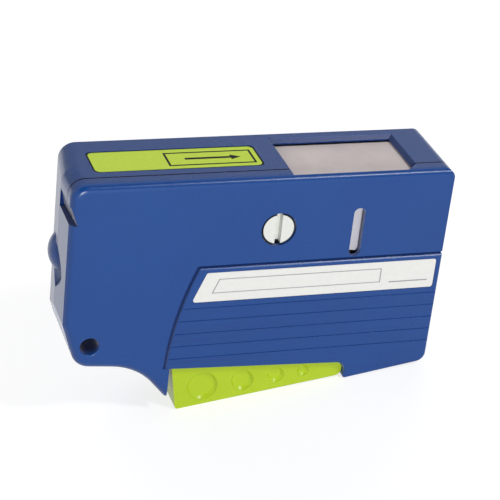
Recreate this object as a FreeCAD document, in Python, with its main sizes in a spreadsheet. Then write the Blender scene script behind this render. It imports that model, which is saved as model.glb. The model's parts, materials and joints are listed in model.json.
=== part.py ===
import FreeCAD, Part
import math
import os
import Sketcher

# Reel-type cleaning cassette for fibre connectors, in millimetres.
# Every piece is drawn in the case's own frame: X to the right along the top, Y from the front face
# to the back, Z up from the top face. A "drop" is a distance below the top face. At the end the
# whole cassette is leaned onto the lever tip and the foot, as it stands on a table.

doc = FreeCAD.newDocument("CleaningCassette")
sheet = doc.addObject("Spreadsheet::Sheet", "Sizes")
V = FreeCAD.Vector


class Dim:
    """A length or angle: its value, and the sheet expression that gives it."""

    def __init__(self, value, text):
        self.value = value
        self.text = text

    def __add__(self, other):
        other = as_dim(other)
        return Dim(self.value + other.value, "(%s + %s)" % (self.text, other.text))

    def __sub__(self, other):
        other = as_dim(other)
        return Dim(self.value - other.value, "(%s - %s)" % (self.text, other.text))

    def __mul__(self, other):
        other = as_dim(other)
        return Dim(self.value * other.value, "(%s * %s)" % (self.text, other.text))

    def __truediv__(self, other):
        other = as_dim(other)
        return Dim(self.value / other.value, "(%s / %s)" % (self.text, other.text))

    def __neg__(self):
        return Dim(-self.value, "(-%s)" % self.text)


def as_dim(number):
    """A bare number as a Dim."""
    if isinstance(number, Dim):
        return number
    return Dim(float(number), repr(float(number)))


def size(name, value):
    """Write one driving dimension to the sheet and return it."""
    size.row += 1
    sheet.set("A%d" % size.row, name)
    sheet.set("B%d" % size.row, str(value))
    sheet.setAlias("B%d" % size.row, name)
    return Dim(float(value), "Sizes." + name)


size.row = 0
ZERO = as_dim(0)

# Case
case_width = size("case_width", 120.4)
case_depth = size("case_depth", 30)
wall = size("wall", 1.6)
cover_depth = size("cover_depth", 5.2)
seam_gap = size("seam_gap", 0.35)
top_round = size("top_round", 5)
right_round = size("right_round", 3)
front_round = size("front_round", 2.4)
rear_round = size("rear_round", 0.6)
toe_drop = size("toe_drop", 68.9)
toe_round = size("toe_round", 3.2)
foot_place = size("foot_place", 0.7658)
foot_x = case_width * foot_place
foot_lean = size("foot_lean", 1.2)
foot_wall_x = foot_x + foot_lean
foot_drop = size("foot_drop", 73.6)
foot_round = size("foot_round", 1)
foot_wall_drop = size("foot_wall_drop", 68.2)
slot_drop_right = size("slot_drop_right", 67.5)
slot_drop_left = size("slot_drop_left", 64.8)
slot_round = size("slot_round", 3.1)
beak_place = size("beak_place", 0.2849)
beak_x = case_width * beak_place
finger_drop = size("finger_drop", 64.2)
beak_hang = size("beak_hang", 11.5)
beak_drop = finger_drop + beak_hang
beak_width = size("beak_width", 1.3)
beak_rise = size("beak_rise", 0.8)
beak_round = size("beak_round", 0.4)
finger_reach = size("finger_reach", 10.2)
finger_x = beak_x - finger_reach
finger_round = size("finger_round", 20)
heel_x = size("heel_x", 4.6)
heel_drop = size("heel_drop", 62.3)
heel_round = size("heel_round", 6)
bend_drop = size("bend_drop", 47.2)
bend_round = size("bend_round", 4)

# Left flank: the rear half leans in, the cover's skirt is deep below the pry notch
flank_start = size("flank_start", 14)
flank_inset = size("flank_inset", 2.4)
skirt_top_drop = size("skirt_top_drop", 12.8)
skirt_place = size("skirt_place", 0.583)
skirt_low_drop = bend_drop + (heel_drop - bend_drop) * skirt_place
notch_drop = size("notch_drop", 7.2)
notch_front = size("notch_front", 2.4)
notch_back = size("notch_back", 1.4)
notch_top = size("notch_top", 0.3)
scoop_drop = size("scoop_drop", 33.6)
scoop_height = size("scoop_height", 14.6)
scoop_width = size("scoop_width", 7.2)
scoop_back = size("scoop_back", 24)
scoop_deep = size("scoop_deep", 2.6)
bump_drop = size("bump_drop", 32.7)
bump_place = size("bump_place", 0.47)
bump_depth = flank_start + (case_depth - flank_start) * bump_place
bump_rise = size("bump_rise", 2.1)
bump_reach = size("bump_reach", 5.5)
backing = size("backing", 2)

# Grip panel on the front
panel_rise = size("panel_rise", 0.5)
panel_inset = size("panel_inset", 6.7)
panel_x = beak_x + panel_inset
panel_drop = size("panel_drop", 29.6)
panel_lap = size("panel_lap", 1.3)
panel_low_x = beak_x - panel_lap
panel_curve = size("panel_curve", 104)
panel_edge = size("panel_edge", 0.3)
panel_channel = size("panel_channel", 0.8)
channel_deep = size("channel_deep", 0.7)
groove_drop = size("groove_drop", 43.1)
groove_pitch = size("groove_pitch", 4.45)
groove_width = size("groove_width", 0.35)
groove_deep = size("groove_deep", 0.2)
GROOVES = 5

# Window
window_right = size("window_right", 12.6)
window_length = size("window_length", 39.8)
window_margin = size("window_margin", 0.6)
window_corner = size("window_corner", 2.4)
window_bevel = size("window_bevel", 1.2)
window_x = case_width - window_right - window_length
window_end = window_x + window_length

# Labels
label_thick = size("label_thick", 0.2)
label_recess = size("label_recess", 0.3)
label_margin = size("label_margin", 0.15)
label_round = size("label_round", 1)
top_label_round = size("top_label_round", 1.8)
front_label_drop = size("front_label_drop", 31)
front_label_height = size("front_label_height", 10.4)
front_label_left = size("front_label_left", 2.2)
front_label_x = panel_x + front_label_left
front_label_slant = size("front_label_slant", 4.1)
front_label_right = size("front_label_right", 1.6)
top_label_x = size("top_label_x", 8.5)
top_label_gap = size("top_label_gap", 6.6)
top_label_depth = size("top_label_depth", 8.6)
top_label_back = size("top_label_back", 7.6)
top_label_length = window_x - top_label_gap - top_label_x
top_label_width = case_depth - top_label_back - top_label_depth

# View slot over the supply roll
view_drop = size("view_drop", 11.8)
view_length = size("view_length", 16.8)
view_width = size("view_width", 3.7)

# Strap hole
strap_x = size("strap_x", 8.4)
strap_place = size("strap_place", 0.4967)
strap_drop = bend_drop + (heel_drop - bend_drop) * strap_place
strap_radius = size("strap_radius", 2.9)
strap_tube = size("strap_tube", 1)
strap_lip = size("strap_lip", 0.5)

# Fits
running = size("running", 0.06)
clearance = size("clearance", 0.3)
seat = size("seat", 0.02)

# Lever
lever_gap = size("lever_gap", 0.7)
lever_x = beak_x + lever_gap
tip_inset = size("tip_inset", 2.8)
tip_x = lever_x + tip_inset
tip_below = size("tip_below", 5.45)
tip_drop = beak_drop + tip_below
lever_end_gap = size("lever_end_gap", 0.9)
lever_end_x = foot_wall_x - lever_end_gap
lever_end_rise = size("lever_end_rise", 0.5)
lever_end_drop = foot_drop - lever_end_rise
lever_end_height = size("lever_end_height", 4.9)
lever_end_round = size("lever_end_round", 2.3)
lever_wall = size("lever_wall", 1.8)
lever_neck = size("lever_neck", 4)
swing_room = size("swing_room", 14)
pivot_inset = size("pivot_inset", 5.3)
pivot_x = foot_x + pivot_inset
pivot_rise = size("pivot_rise", 4.5)
pivot_drop = slot_drop_right - pivot_rise
lever_top_rise = size("lever_top_rise", 1)
lever_top_drop = pivot_drop - lever_top_rise
pivot_radius = size("pivot_radius", 1.5)
arm_half = size("arm_half", 3.3)
dimple_deep = size("dimple_deep", 1)
dimple_inset = size("dimple_inset", 8.3)
dimple_x = tip_x + dimple_inset
dimple_margin = size("dimple_margin", 1.7)
dimple_lift = size("dimple_lift", 0.32)
dimple_radius = size("dimple_radius", 5)
dimple_bevel = size("dimple_bevel", 0.8)
dimple_shrink = size("dimple_shrink", 0.74)
dimple_pitch = size("dimple_pitch", 0.24)
dimple_step = (lever_end_x - tip_x) * dimple_pitch
DIMPLES = 4

# Drive
gear_teeth = size("gear_teeth", 36)
rack_circle_teeth = size("rack_circle_teeth", 117)
gear_thick = size("gear_thick", 1.6)
tooth_share = size("tooth_share", 0.42)
rack_arm = size("rack_arm", 4.4)
RACK_TEETH = 9

# Reels and tape
tape_front = size("tape_front", 4.5)
tape_thick = size("tape_thick", 0.2)
take_up_place = size("take_up_place", 0.2409)
take_up_x = case_width * take_up_place
take_up_drop = size("take_up_drop", 28.5)
take_up_turns = size("take_up_turns", 1)
supply_inset = size("supply_inset", 7)
supply_x = pivot_x - supply_inset
view_x = supply_x
supply_rise = size("supply_rise", 26.5)
supply_drop = pivot_drop - supply_rise
supply_room = size("supply_room", 1.7)
core_radius = size("core_radius", 10)
core_wall = size("core_wall", 1.8)
flange_room = size("flange_room", 3)
flange_lip = size("flange_lip", 0.7)
flange_gap = size("flange_gap", 0.9)
flange_thick = size("flange_thick", 1.1)
post_radius = size("post_radius", 3)
post_front = size("post_front", 3.2)
hub_front = size("hub_front", 6)
hub_length = size("hub_length", 6)
sleeve_wall = size("sleeve_wall", 1.44)
clutch_wall = size("clutch_wall", 2)
clutch_gap = size("clutch_gap", 1)
clutch_length = size("clutch_length", 8)
socket_wall = size("socket_wall", 1.6)

# Tape guides and platen
guide_radius = size("guide_radius", 2.5)
guide_pin = size("guide_pin", 1)
guide_inset = size("guide_inset", 3.5)
guide_left_x = window_x - guide_inset
guide_right_x = window_end + guide_inset
tape_drop = size("tape_drop", 1.9)
platen_thick = size("platen_thick", 3.8)
platen_gap = size("platen_gap", 0.5)
pad_thick = size("pad_thick", 1.2)
pad_margin = size("pad_margin", 2.4)
rib_thick = size("rib_thick", 2)
rib_height = size("rib_height", 3)
rib_front = size("rib_front", 12)
rib_inset = size("rib_inset", 5)
pin_socket = size("pin_socket", 0.8)

# Cover lock
lock_inset = size("lock_inset", 25.7)
lock_x = supply_x - lock_inset
lock_rise = size("lock_rise", 18.8)
lock_drop = supply_drop - lock_rise
lock_radius = size("lock_radius", 5.1)
lock_recess = size("lock_recess", 0.3)
lock_gap = size("lock_gap", 0.5)
lock_flange = size("lock_flange", 6.6)
lock_stem = size("lock_stem", 3)
collar_height = size("collar_height", 2.6)
collar_wall = size("collar_wall", 0.8)
coin_width = size("coin_width", 1.9)
coin_deep = size("coin_deep", 2.6)
bar_length = size("bar_length", 9.2)
bar_width = size("bar_width", 3.2)
bar_thick = size("bar_thick", 2)
tower_radius = size("tower_radius", 7.2)
tower_front = size("tower_front", 8.4)
tower_plate = size("tower_plate", 1.8)

# Springs
coil_place = size("coil_place", 0.4)
coil_x = lever_x + (lever_end_x - lever_x) * coil_place
coil_radius = size("coil_radius", 3.2)
coil_wire = size("coil_wire", 0.45)
coil_turns = size("coil_turns", 5)
coil_seat_rise = size("coil_seat_rise", 3.53)
coil_seat_drop = tip_drop - (tip_drop - lever_end_drop) * coil_place - coil_seat_rise
coil_seat_height = size("coil_seat_height", 2.2)
coil_seat_radius = size("coil_seat_radius", 4.4)
ledge_drop = size("ledge_drop", 52)
ledge_thick = size("ledge_thick", 2)
leaf_thick = size("leaf_thick", 0.4)
leaf_width = size("leaf_width", 6)
felt_thick = size("felt_thick", 1)
felt_length = size("felt_length", 5)
brake_radius = size("brake_radius", 13)
doc.recompute()


def root(dim):
    """Square root of a size."""
    return Dim(math.sqrt(dim.value), "sqrt(%s)" % dim.text)


# Depths worked out from the driving dimensions, from the rear wall forwards
rear_inner = case_depth - wall
rear_rim = cover_depth + seam_gap
lever_front = wall - panel_rise + clearance
lever_back = rear_inner - clearance
gear_back = lever_back
gear_front = gear_back - gear_thick
flange_back = gear_front - flange_gap
tape_back = flange_back - flange_thick
window_back = tape_back + window_margin
coil_depth = (tape_front + tape_back) / 2

# Rolls and flanges: the full roll fills the room beside the lever's pin
supply_flange = root(supply_inset * supply_inset + supply_rise * supply_rise) - pivot_radius - supply_room
supply_full = supply_flange - flange_lip
take_up_full = core_radius + take_up_turns
take_up_flange = take_up_x - wall - flank_inset - flange_room
guide_drop = tape_drop + tape_thick + running + guide_radius
sleeve_radius = post_radius + running + sleeve_wall
clutch_radius = sleeve_radius + running + clutch_wall
clutch_front = hub_front + hub_length + clutch_gap
skirt_back = flank_start
skirt_split = skirt_back + seam_gap
platen_left = guide_left_x + guide_radius + platen_gap
platen_right = guide_right_x - guide_radius - platen_gap
platen_drop = tape_drop + tape_thick + seat

# Mesh of the lever's rack with the drive gear, on the line from the pivot to the take-up post
mesh_x = take_up_x - pivot_x
mesh_z = pivot_drop - take_up_drop
mesh_angle = math.degrees(math.atan2(mesh_z.value, mesh_x.value))
module = root(mesh_x * mesh_x + mesh_z * mesh_z) * 2 / (gear_teeth + rack_circle_teeth)
gear_pitch_radius = module * gear_teeth / 2
rack_pitch_radius = module * rack_circle_teeth / 2
addendum = module * 0.9
dedendum = module * 1.15


def plane(body, role):
    """One of the body's own origin planes."""
    return next(f for f in body.Origin.OriginFeatures if f.Role == role)


def new_body(label):
    """A sub-part, named by its label."""
    body = doc.addObject("PartDesign::Body", label)
    body.Label = label
    return body


def new_sketch(body, name, role, lift, shapes, turn=FreeCAD.Rotation()):
    """A sketch on an origin plane, moved along the plane's normal and turned, with its outlines."""
    sketch = body.newObject("Sketcher::SketchObject", name + "_sketch")
    sketch.AttachmentSupport = [(plane(body, role), "")]
    sketch.MapMode = "FlatFace"
    sketch.AttachmentOffset = FreeCAD.Placement(V(0, 0, 0), turn)
    sketch.setExpression("AttachmentOffset.Base.z", lift.text)
    for shape in shapes:
        shape(sketch)
    return sketch


def measure(sketch, kind, args, dim):
    """A dimension of the sketch, bound to the sheet."""
    number = sketch.addConstraint(Sketcher.Constraint(kind, *args, dim.value))
    sketch.setExpression("Constraints[%d]" % number, dim.text)


def fix(sketch, geometry, vertex, point):
    """Tie one vertex to its two coordinates."""
    measure(sketch, "DistanceX", (-1, 1, geometry, vertex), as_dim(point[0]))
    measure(sketch, "DistanceY", (-1, 1, geometry, vertex), as_dim(point[1]))


def polygon(*points):
    """Closed outline of straight lines through the points."""
    corners = [V(as_dim(x).value, as_dim(y).value, 0) for x, y in points]

    def draw(sketch):
        first = sketch.GeometryCount
        count = len(points)
        for i in range(count):
            sketch.addGeometry(Part.LineSegment(corners[i], corners[(i + 1) % count]), False)
        for i in range(count):
            after = first + (i + 1) % count
            sketch.addConstraint(Sketcher.Constraint("Coincident", first + i, 2, after, 1))
            fix(sketch, first + i, 1, points[i])

    return draw


def rectangle(left, low, right, high):
    """Rectangle between two corners."""
    return polygon((left, low), (right, low), (right, high), (left, high))


def circle(centre, radius):
    """Circle about a centre."""
    def draw(sketch):
        middle = V(as_dim(centre[0]).value, as_dim(centre[1]).value, 0)
        number = sketch.addGeometry(Part.Circle(middle, V(0, 0, 1), radius.value), False)
        fix(sketch, number, 3, centre)
        measure(sketch, "Radius", (number,), radius)

    return draw


def pad(body, name, front, back, *shapes):
    """Material between two depths, with the given outlines seen from the front."""
    sketch = new_sketch(body, name, "XZ_Plane", -as_dim(front), shapes)
    feature = body.newObject("PartDesign::Pad", name)
    feature.Profile = sketch
    feature.Reversed = True
    feature.setExpression("Length", (as_dim(back) - front).text)
    doc.recompute()
    return feature


def pocket(body, name, front, back, *shapes):
    """A cut between two depths, with the given outlines seen from the front."""
    before = body.Shape.Volume
    sketch = new_sketch(body, name, "XZ_Plane", -as_dim(front), shapes)
    feature = body.newObject("PartDesign::Pocket", name)
    feature.Profile = sketch
    feature.setExpression("Length", (as_dim(back) - front).text)
    doc.recompute()
    require(body.Shape.Volume < before - 1e-3, "%s of %s cuts nothing" % (name, body.Label))
    return feature


def block(body, name, low, high, *shapes):
    """Material between two heights, with the given outlines seen from above."""
    sketch = new_sketch(body, name, "XY_Plane", as_dim(low), shapes)
    feature = body.newObject("PartDesign::Pad", name)
    feature.Profile = sketch
    feature.setExpression("Length", (as_dim(high) - low).text)
    doc.recompute()
    return feature


def trench(body, name, high, low, *shapes):
    """A cut from one height down to another, with the given outlines seen from above."""
    before = body.Shape.Volume
    sketch = new_sketch(body, name, "XY_Plane", as_dim(high), shapes)
    feature = body.newObject("PartDesign::Pocket", name)
    feature.Profile = sketch
    feature.setExpression("Length", (as_dim(high) - low).text)
    doc.recompute()
    require(body.Shape.Volume < before - 1e-3, "%s of %s cuts nothing" % (name, body.Label))
    return feature


def turned(body, name, *points):
    """Turned form about the body's own Y axis, from a profile of radius and depth."""
    sketch = new_sketch(body, name, "XY_Plane", ZERO, [polygon(*points)])
    feature = body.newObject("PartDesign::Revolution", name)
    feature.Profile = sketch
    feature.ReferenceAxis = (sketch, ["V_Axis"])
    feature.Angle = 360
    doc.recompute()
    return feature


def dress(body, name, kind, radius, edges):
    """Fillet or chamfer on the edges that the test picks from the body's present shape."""
    names = ["Edge%d" % n for n, edge in enumerate(body.Shape.Edges, 1) if edges(edge)]
    require(names, "%s of %s finds no edge" % (name, body.Label))
    base = body.Tip
    feature = body.newObject("PartDesign::" + kind, name)
    feature.Base = (base, names)
    feature.setExpression("Radius" if kind == "Fillet" else "Size", radius.text)
    doc.recompute()
    return feature


def near(a, b):
    """Equal to within a hundredth of a millimetre."""
    return abs(a - b) < 0.01


def through(*corners):
    """Test for straight edges that run in depth through one of the corners."""
    spots = [(as_dim(x).value, as_dim(z).value) for x, z in corners]

    def test(edge):
        box = edge.BoundBox
        if box.XLength > 0.01 or box.ZLength > 0.01:
            return False
        return any(near(box.XMin, x) and near(box.ZMin, z) for x, z in spots)

    return test


def upright(*corners):
    """Test for straight edges that run in height through one of the corners seen from above."""
    spots = [(as_dim(x).value, as_dim(y).value) for x, y in corners]

    def test(edge):
        box = edge.BoundBox
        if box.XLength > 0.01 or box.YLength > 0.01:
            return False
        return any(near(box.XMin, x) and near(box.YMin, y) for x, y in spots)

    return test


def at_depth(depth, keep=lambda middle: True):
    """Test for edges that lie in one depth plane, where keep accepts their middle point."""
    def test(edge):
        box = edge.BoundBox
        if box.YLength > 0.01 or not near(box.YMin, depth.value):
            return False
        return keep(edge.valueAt((edge.FirstParameter + edge.LastParameter) / 2))

    return test


def require(true, message):
    """Stop with a message unless the statement is true."""
    if not true:
        raise RuntimeError(message)


# Outline of the case seen from the front, clockwise from the top left
top_left = (ZERO, ZERO)
top_right = (case_width, ZERO)
toe = (case_width, -toe_drop)
foot_tip = (foot_x, -foot_drop)
slot_right = (foot_wall_x, -slot_drop_right)
slot_left = (beak_x, -slot_drop_left)
beak_tip = (beak_x, -beak_drop)
beak_side = (beak_x - beak_width, -(beak_drop - beak_rise))
finger = (finger_x, -finger_drop)
heel = (heel_x, -heel_drop)
bend = (ZERO, -bend_drop)


def cavity(left):
    """Hollow of a case half, open below for the lever, with its left wall at the given place."""
    below = -(tip_drop + wall)
    return polygon(
        (left, -wall),
        (case_width - wall, -wall),
        (case_width - wall, -(toe_drop - wall)),
        (foot_x + wall, -(foot_drop - wall)),
        (foot_wall_x + wall, -foot_wall_drop),
        (foot_x, -foot_wall_drop),
        (foot_x, below),
        (beak_x, below),
        (beak_x, -(finger_drop - wall)),
        (heel_x + wall, -(heel_drop - wall)),
        (left, -bend_drop),
    )


def cavity_round(body, left):
    """Inner corner rounds that keep the wall even."""
    dress(body, "InnerTopRound", "Fillet", top_round - wall, through((left, -wall)))
    dress(body, "InnerRightRound", "Fillet", right_round - wall, through((case_width - wall, -wall)))
    dress(body, "InnerToeRound", "Fillet", toe_round - wall,
          through((case_width - wall, -(toe_drop - wall))))


skirt_low_x = heel_x * (skirt_low_drop - bend_drop) / (heel_drop - bend_drop)


def skirt(gap):
    """The left wall's strip that belongs to the cover's deep skirt, with a gap round it."""
    return polygon(
        (-gap, -(skirt_top_drop - gap)),
        (wall + gap, -(skirt_top_drop - gap)),
        (wall + gap, -bend_drop),
        (skirt_low_x + wall + gap, -(skirt_low_drop + gap)),
        (skirt_low_x - gap, -(skirt_low_drop + gap)),
        (-gap, -bend_drop),
    )


def scoop_backing(gap):
    """The thicker stretch of the cover's skirt behind the scoop, with a gap round it."""
    reach = scoop_height / 2 + wall + gap
    return rectangle(wall / 2, -(scoop_drop + reach), wall + backing + gap, -(scoop_drop - reach))


def cut_notch(body):
    """Pry notch in the left edge: a wedge that is deepest at its floor and at the front."""
    before = body.Shape.Volume
    floor = new_sketch(body, "NotchFloor", "XY_Plane", -skirt_top_drop, [polygon(
        (-wall, -wall), (notch_front, -wall), (notch_back, skirt_back), (-wall, skirt_back))])
    roof = new_sketch(body, "NotchRoof", "XY_Plane", -notch_drop, [polygon(
        (-wall, -wall), (notch_top, -wall), (notch_top, skirt_back), (-wall, skirt_back))])
    notch = body.newObject("PartDesign::SubtractiveLoft", "PryNotch")
    notch.Profile = floor
    notch.Sections = [roof]
    notch.Ruled = True
    doc.recompute()
    require(body.Shape.Volume < before - 1e-3, "the notch of %s cuts nothing" % body.Label)


def cut_scoop(body):
    """Almond finger scoop in the left side: the mark of a wheel, steep in front and shallow behind."""
    half = scoop_height / 2
    arm = (half * half - scoop_deep * scoop_deep) / (scoop_deep * 2)
    spread = (scoop_deep + bump_rise * 2) / scoop_deep
    before = body.Shape.Volume
    sketch = new_sketch(body, "Scoop", "XY_Plane", -scoop_drop, [polygon(
        (scoop_deep, flank_start),
        (-bump_rise * 2, flank_start + scoop_back * spread),
        (-bump_rise * 2, flank_start - scoop_width * spread),
    )])
    axle = sketch.addGeometry(Part.LineSegment(V(-arm.value, 0, 0), V(-arm.value, case_depth.value, 0)), True)
    fix(sketch, axle, 1, (-arm, ZERO))
    fix(sketch, axle, 2, (-arm, case_depth))
    groove = body.newObject("PartDesign::Groove", "Scoop")
    groove.Profile = sketch
    groove.ReferenceAxis = (sketch, ["Axis0"])
    groove.Angle = 360
    doc.recompute()
    require(body.Shape.Volume < before - 1e-3, "the scoop of %s cuts nothing" % body.Label)


def flank_top(edge):
    """Test for the edge between the top and the left side, straight and leaning stretch alike."""
    box = edge.BoundBox
    return near(box.ZMin, 0) and box.ZLength < 0.01 and box.XMax < flank_inset.value + 0.01


def case_rounds(body, *named):
    """Rounds on the outline's corners, each a name, a radius and its corners."""
    for name, radius, corners in named:
        dress(body, name, "Fillet", radius, through(*corners))


def make_rear_case():
    """Rear half: five walls, reel posts, lock tower, window frame and strap tube in one moulding."""
    body = new_body("rear_case")
    inside = wall + flank_inset
    deep = case_depth - wall / 2
    pad(body, "Shell", rear_rim, case_depth, polygon(
        top_left, top_right, toe, foot_tip, slot_right, slot_left, beak_tip, beak_side, finger, heel, bend))
    case_rounds(body,
                ("RightRound", right_round, (top_right,)),
                ("ToeRound", toe_round, (toe,)),
                ("FootRound", foot_round, (foot_tip,)),
                ("SlotRound", slot_round, (slot_right,)),
                ("BeakRound", beak_round, (beak_tip,)),
                ("FingerRound", finger_round, (finger,)),
                ("HeelRound", heel_round, (heel,)),
                ("BendRound", bend_round, (bend,)))
    trench(body, "Flank", wall, -(heel_drop + wall), polygon(
        (-wall, flank_start), (ZERO, flank_start), (flank_inset, case_depth), (-wall, case_depth)))
    dress(body, "TopRound", "Fillet", top_round, flank_top)
    dress(body, "RearRound", "Fillet", rear_round, at_depth(case_depth))

    # Finger scoop, and the raised thumb bump that stands at the back of it
    cut_scoop(body)
    ball = (bump_reach * bump_reach + bump_rise * bump_rise) / (bump_rise * 2)
    flank_x = flank_inset * (bump_depth - flank_start) / (case_depth - flank_start)
    bump = body.newObject("PartDesign::AdditiveSphere", "Bump")
    bump.AttachmentSupport = [(plane(body, "XY_Plane"), "")]
    bump.MapMode = "FlatFace"
    bump.setExpression("Radius", ball.text)
    bump.setExpression("AttachmentOffset.Base.x", (flank_x + ball - bump_rise).text)
    bump.setExpression("AttachmentOffset.Base.y", bump_depth.text)
    bump.setExpression("AttachmentOffset.Base.z", (-bump_drop).text)
    doc.recompute()

    pocket(body, "Cavity", rear_rim, rear_inner, cavity(inside))
    cavity_round(body, inside)
    pocket(body, "SkirtRebate", ZERO, skirt_split, skirt(seam_gap))
    pocket(body, "ScoopRebate", ZERO, skirt_split, scoop_backing(seam_gap))
    cut_notch(body)

    # Window, and the recess for the label beside it
    trench(body, "Window", wall, -wall * 2, rectangle(window_x, ZERO, window_end, window_back))
    dress(body, "WindowBevel", "Chamfer", window_bevel, window_rim)
    trench(body, "LabelRecess", wall, -label_recess, rectangle(
        top_label_x, top_label_depth,
        top_label_x + top_label_length, top_label_depth + top_label_width))
    dress(body, "LabelCorners", "Fillet", top_label_round, upright(
        (top_label_x, top_label_depth), (top_label_x + top_label_length, top_label_depth),
        (top_label_x, top_label_depth + top_label_width),
        (top_label_x + top_label_length, top_label_depth + top_label_width)))

    # Posts for the reels, and the hollow tower that the lock's bar turns in
    pad(body, "ReelPosts", post_front, deep,
        circle((take_up_x, -take_up_drop), post_radius), circle((supply_x, -supply_drop), post_radius))
    lock_centre = (lock_x, -lock_drop)
    pad(body, "LockTower", tower_front, deep, circle(lock_centre, tower_radius))
    pocket(body, "TowerBore", tower_front + tower_plate, rear_inner,
           circle(lock_centre, bar_length / 2 + clearance))
    pocket(body, "StemHole", tower_front, tower_front + tower_plate * 1.5,
           circle(lock_centre, lock_stem + clearance / 2))
    half_length = bar_length / 2 + clearance
    half_width = bar_width / 2 + clearance
    pocket(body, "BarSlot", tower_front, tower_front + tower_plate * 1.5, rectangle(
        lock_x - half_length, -lock_drop - half_width, lock_x + half_length, -lock_drop + half_width))

    # Strap tube, shelf ribs under the platen, ledge for the lever's spring
    strap_centre = (strap_x, -strap_drop)
    pocket(body, "TubeRebate", ZERO, skirt_split, circle(strap_centre, strap_radius + strap_tube + clearance))
    pad(body, "StrapTube", skirt_split, deep, circle(strap_centre, strap_radius + strap_tube))
    pocket(body, "StrapBore", ZERO, case_depth, circle(strap_centre, strap_radius))
    shelf = -(platen_drop + platen_thick)
    for side, left in (("Left", platen_left + rib_inset), ("Right", platen_right - rib_inset - rib_thick)):
        pad(body, "PlatenRib" + side, rib_front, deep,
            rectangle(left, shelf - rib_height, left + rib_thick, shelf))
    pad(body, "SpringLedge", coil_depth - coil_seat_radius, deep, rectangle(
        coil_x - coil_seat_radius, -ledge_drop, coil_x + coil_seat_radius, -ledge_drop + ledge_thick))

    # Blind sockets in the rear wall for the steel pins
    pocket(body, "PivotSocket", rear_inner - clearance, rear_inner + pin_socket,
           circle((pivot_x, -pivot_drop), pivot_radius + seat))
    for side, centre in (("Left", guide_left_x), ("Right", guide_right_x)):
        pocket(body, "GuideSocket" + side, rear_inner - clearance, rear_inner + pin_socket,
               circle((centre, -guide_drop), guide_pin + seat))
    return body


def window_rim(edge):
    """Test for the window's upper edges at the back and on the right."""
    box = edge.BoundBox
    if box.ZLength > 0.01 or not near(box.ZMin, 0):
        return False
    at_back = near(box.YMin, window_back.value) and box.YLength < 0.01
    at_end = near(box.XMin, window_end.value) and box.XLength < 0.01
    return at_back or at_end


def arc_outline(points, radius, bulge):
    """Straight lines through the points, closed by an arc that bulges out (1) or in (-1)."""
    spots = [V(as_dim(x).value, as_dim(z).value, 0) for x, z in points]
    lines = len(points) - 1
    chord = spots[0] - spots[-1]
    side = V(chord.y, -chord.x, 0).normalize() * bulge
    reach = math.sqrt(radius.value ** 2 - chord.Length ** 2 / 4)
    centre = (spots[0] + spots[-1]) * 0.5 + side * reach
    ends = [((0, 1), spots[0]), ((lines - 1, 2), spots[-1])][::bulge]
    start, end = [math.atan2(spot.y - centre.y, spot.x - centre.x) for vertex, spot in ends]

    def draw(sketch):
        for i in range(lines):
            sketch.addGeometry(Part.LineSegment(spots[i], spots[i + 1]), False)
        for i in range(lines - 1):
            sketch.addConstraint(Sketcher.Constraint("Coincident", i, 2, i + 1, 1))
        for i in range(lines):
            fix(sketch, i, 1, points[i])
        fix(sketch, lines - 1, 2, points[-1])
        ring = Part.Circle(centre, V(0, 0, 1), radius.value)
        arc = sketch.addGeometry(Part.ArcOfCircle(ring, start, end % (2 * math.pi)), False)
        for number, (vertex, spot) in enumerate(ends, 1):
            sketch.addConstraint(Sketcher.Constraint("Coincident", arc, number, *vertex))
        measure(sketch, "Radius", (arc,), radius)

    return draw


def panel_outline(margin):
    """Grip panel: the case's edge on the right and below, a margin above, a long arc on the left."""
    top = -(panel_drop - margin)
    return arc_outline([(panel_x - margin, top), (case_width, top), toe, foot_tip, slot_right, slot_left,
                        (panel_low_x - margin, -slot_drop_left)], panel_curve, 1)


face_low = -(panel_drop + top_round * 2)
face_end = case_width + top_round


def beyond_right_side():
    """What lies outside the cover's right side and its rounded top corner."""
    low = face_low - wall
    start = case_width - right_round
    return arc_outline([(start, ZERO), (start, wall), (face_end + wall, wall), (face_end + wall, low),
                        (case_width, low), (case_width, -right_round)], right_round, -1)


def view_slot(sketch):
    """Upright slot with round ends, over the supply roll."""
    radius = view_width / 2
    high = -(view_drop + radius)
    low = -(view_drop + view_length - radius)
    x = view_x.value
    caps = [(high, 0, math.pi), (low, math.pi, 2 * math.pi)]
    for height, start, end in caps:
        ring = Part.Circle(V(x, height.value, 0), V(0, 0, 1), radius.value)
        cap = sketch.addGeometry(Part.ArcOfCircle(ring, start, end), False)
        fix(sketch, cap, 3, (view_x, height))
    for side, first, last in ((-radius, 2, 1), (radius, 1, 2)):
        x_side = x + side.value
        line = sketch.addGeometry(Part.LineSegment(V(x_side, high.value, 0), V(x_side, low.value, 0)), False)
        sketch.addConstraint(Sketcher.Constraint("Tangent", line, 1, 0, first))
        sketch.addConstraint(Sketcher.Constraint("Tangent", line, 2, 1, last))
    measure(sketch, "Radius", (0,), radius)


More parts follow.
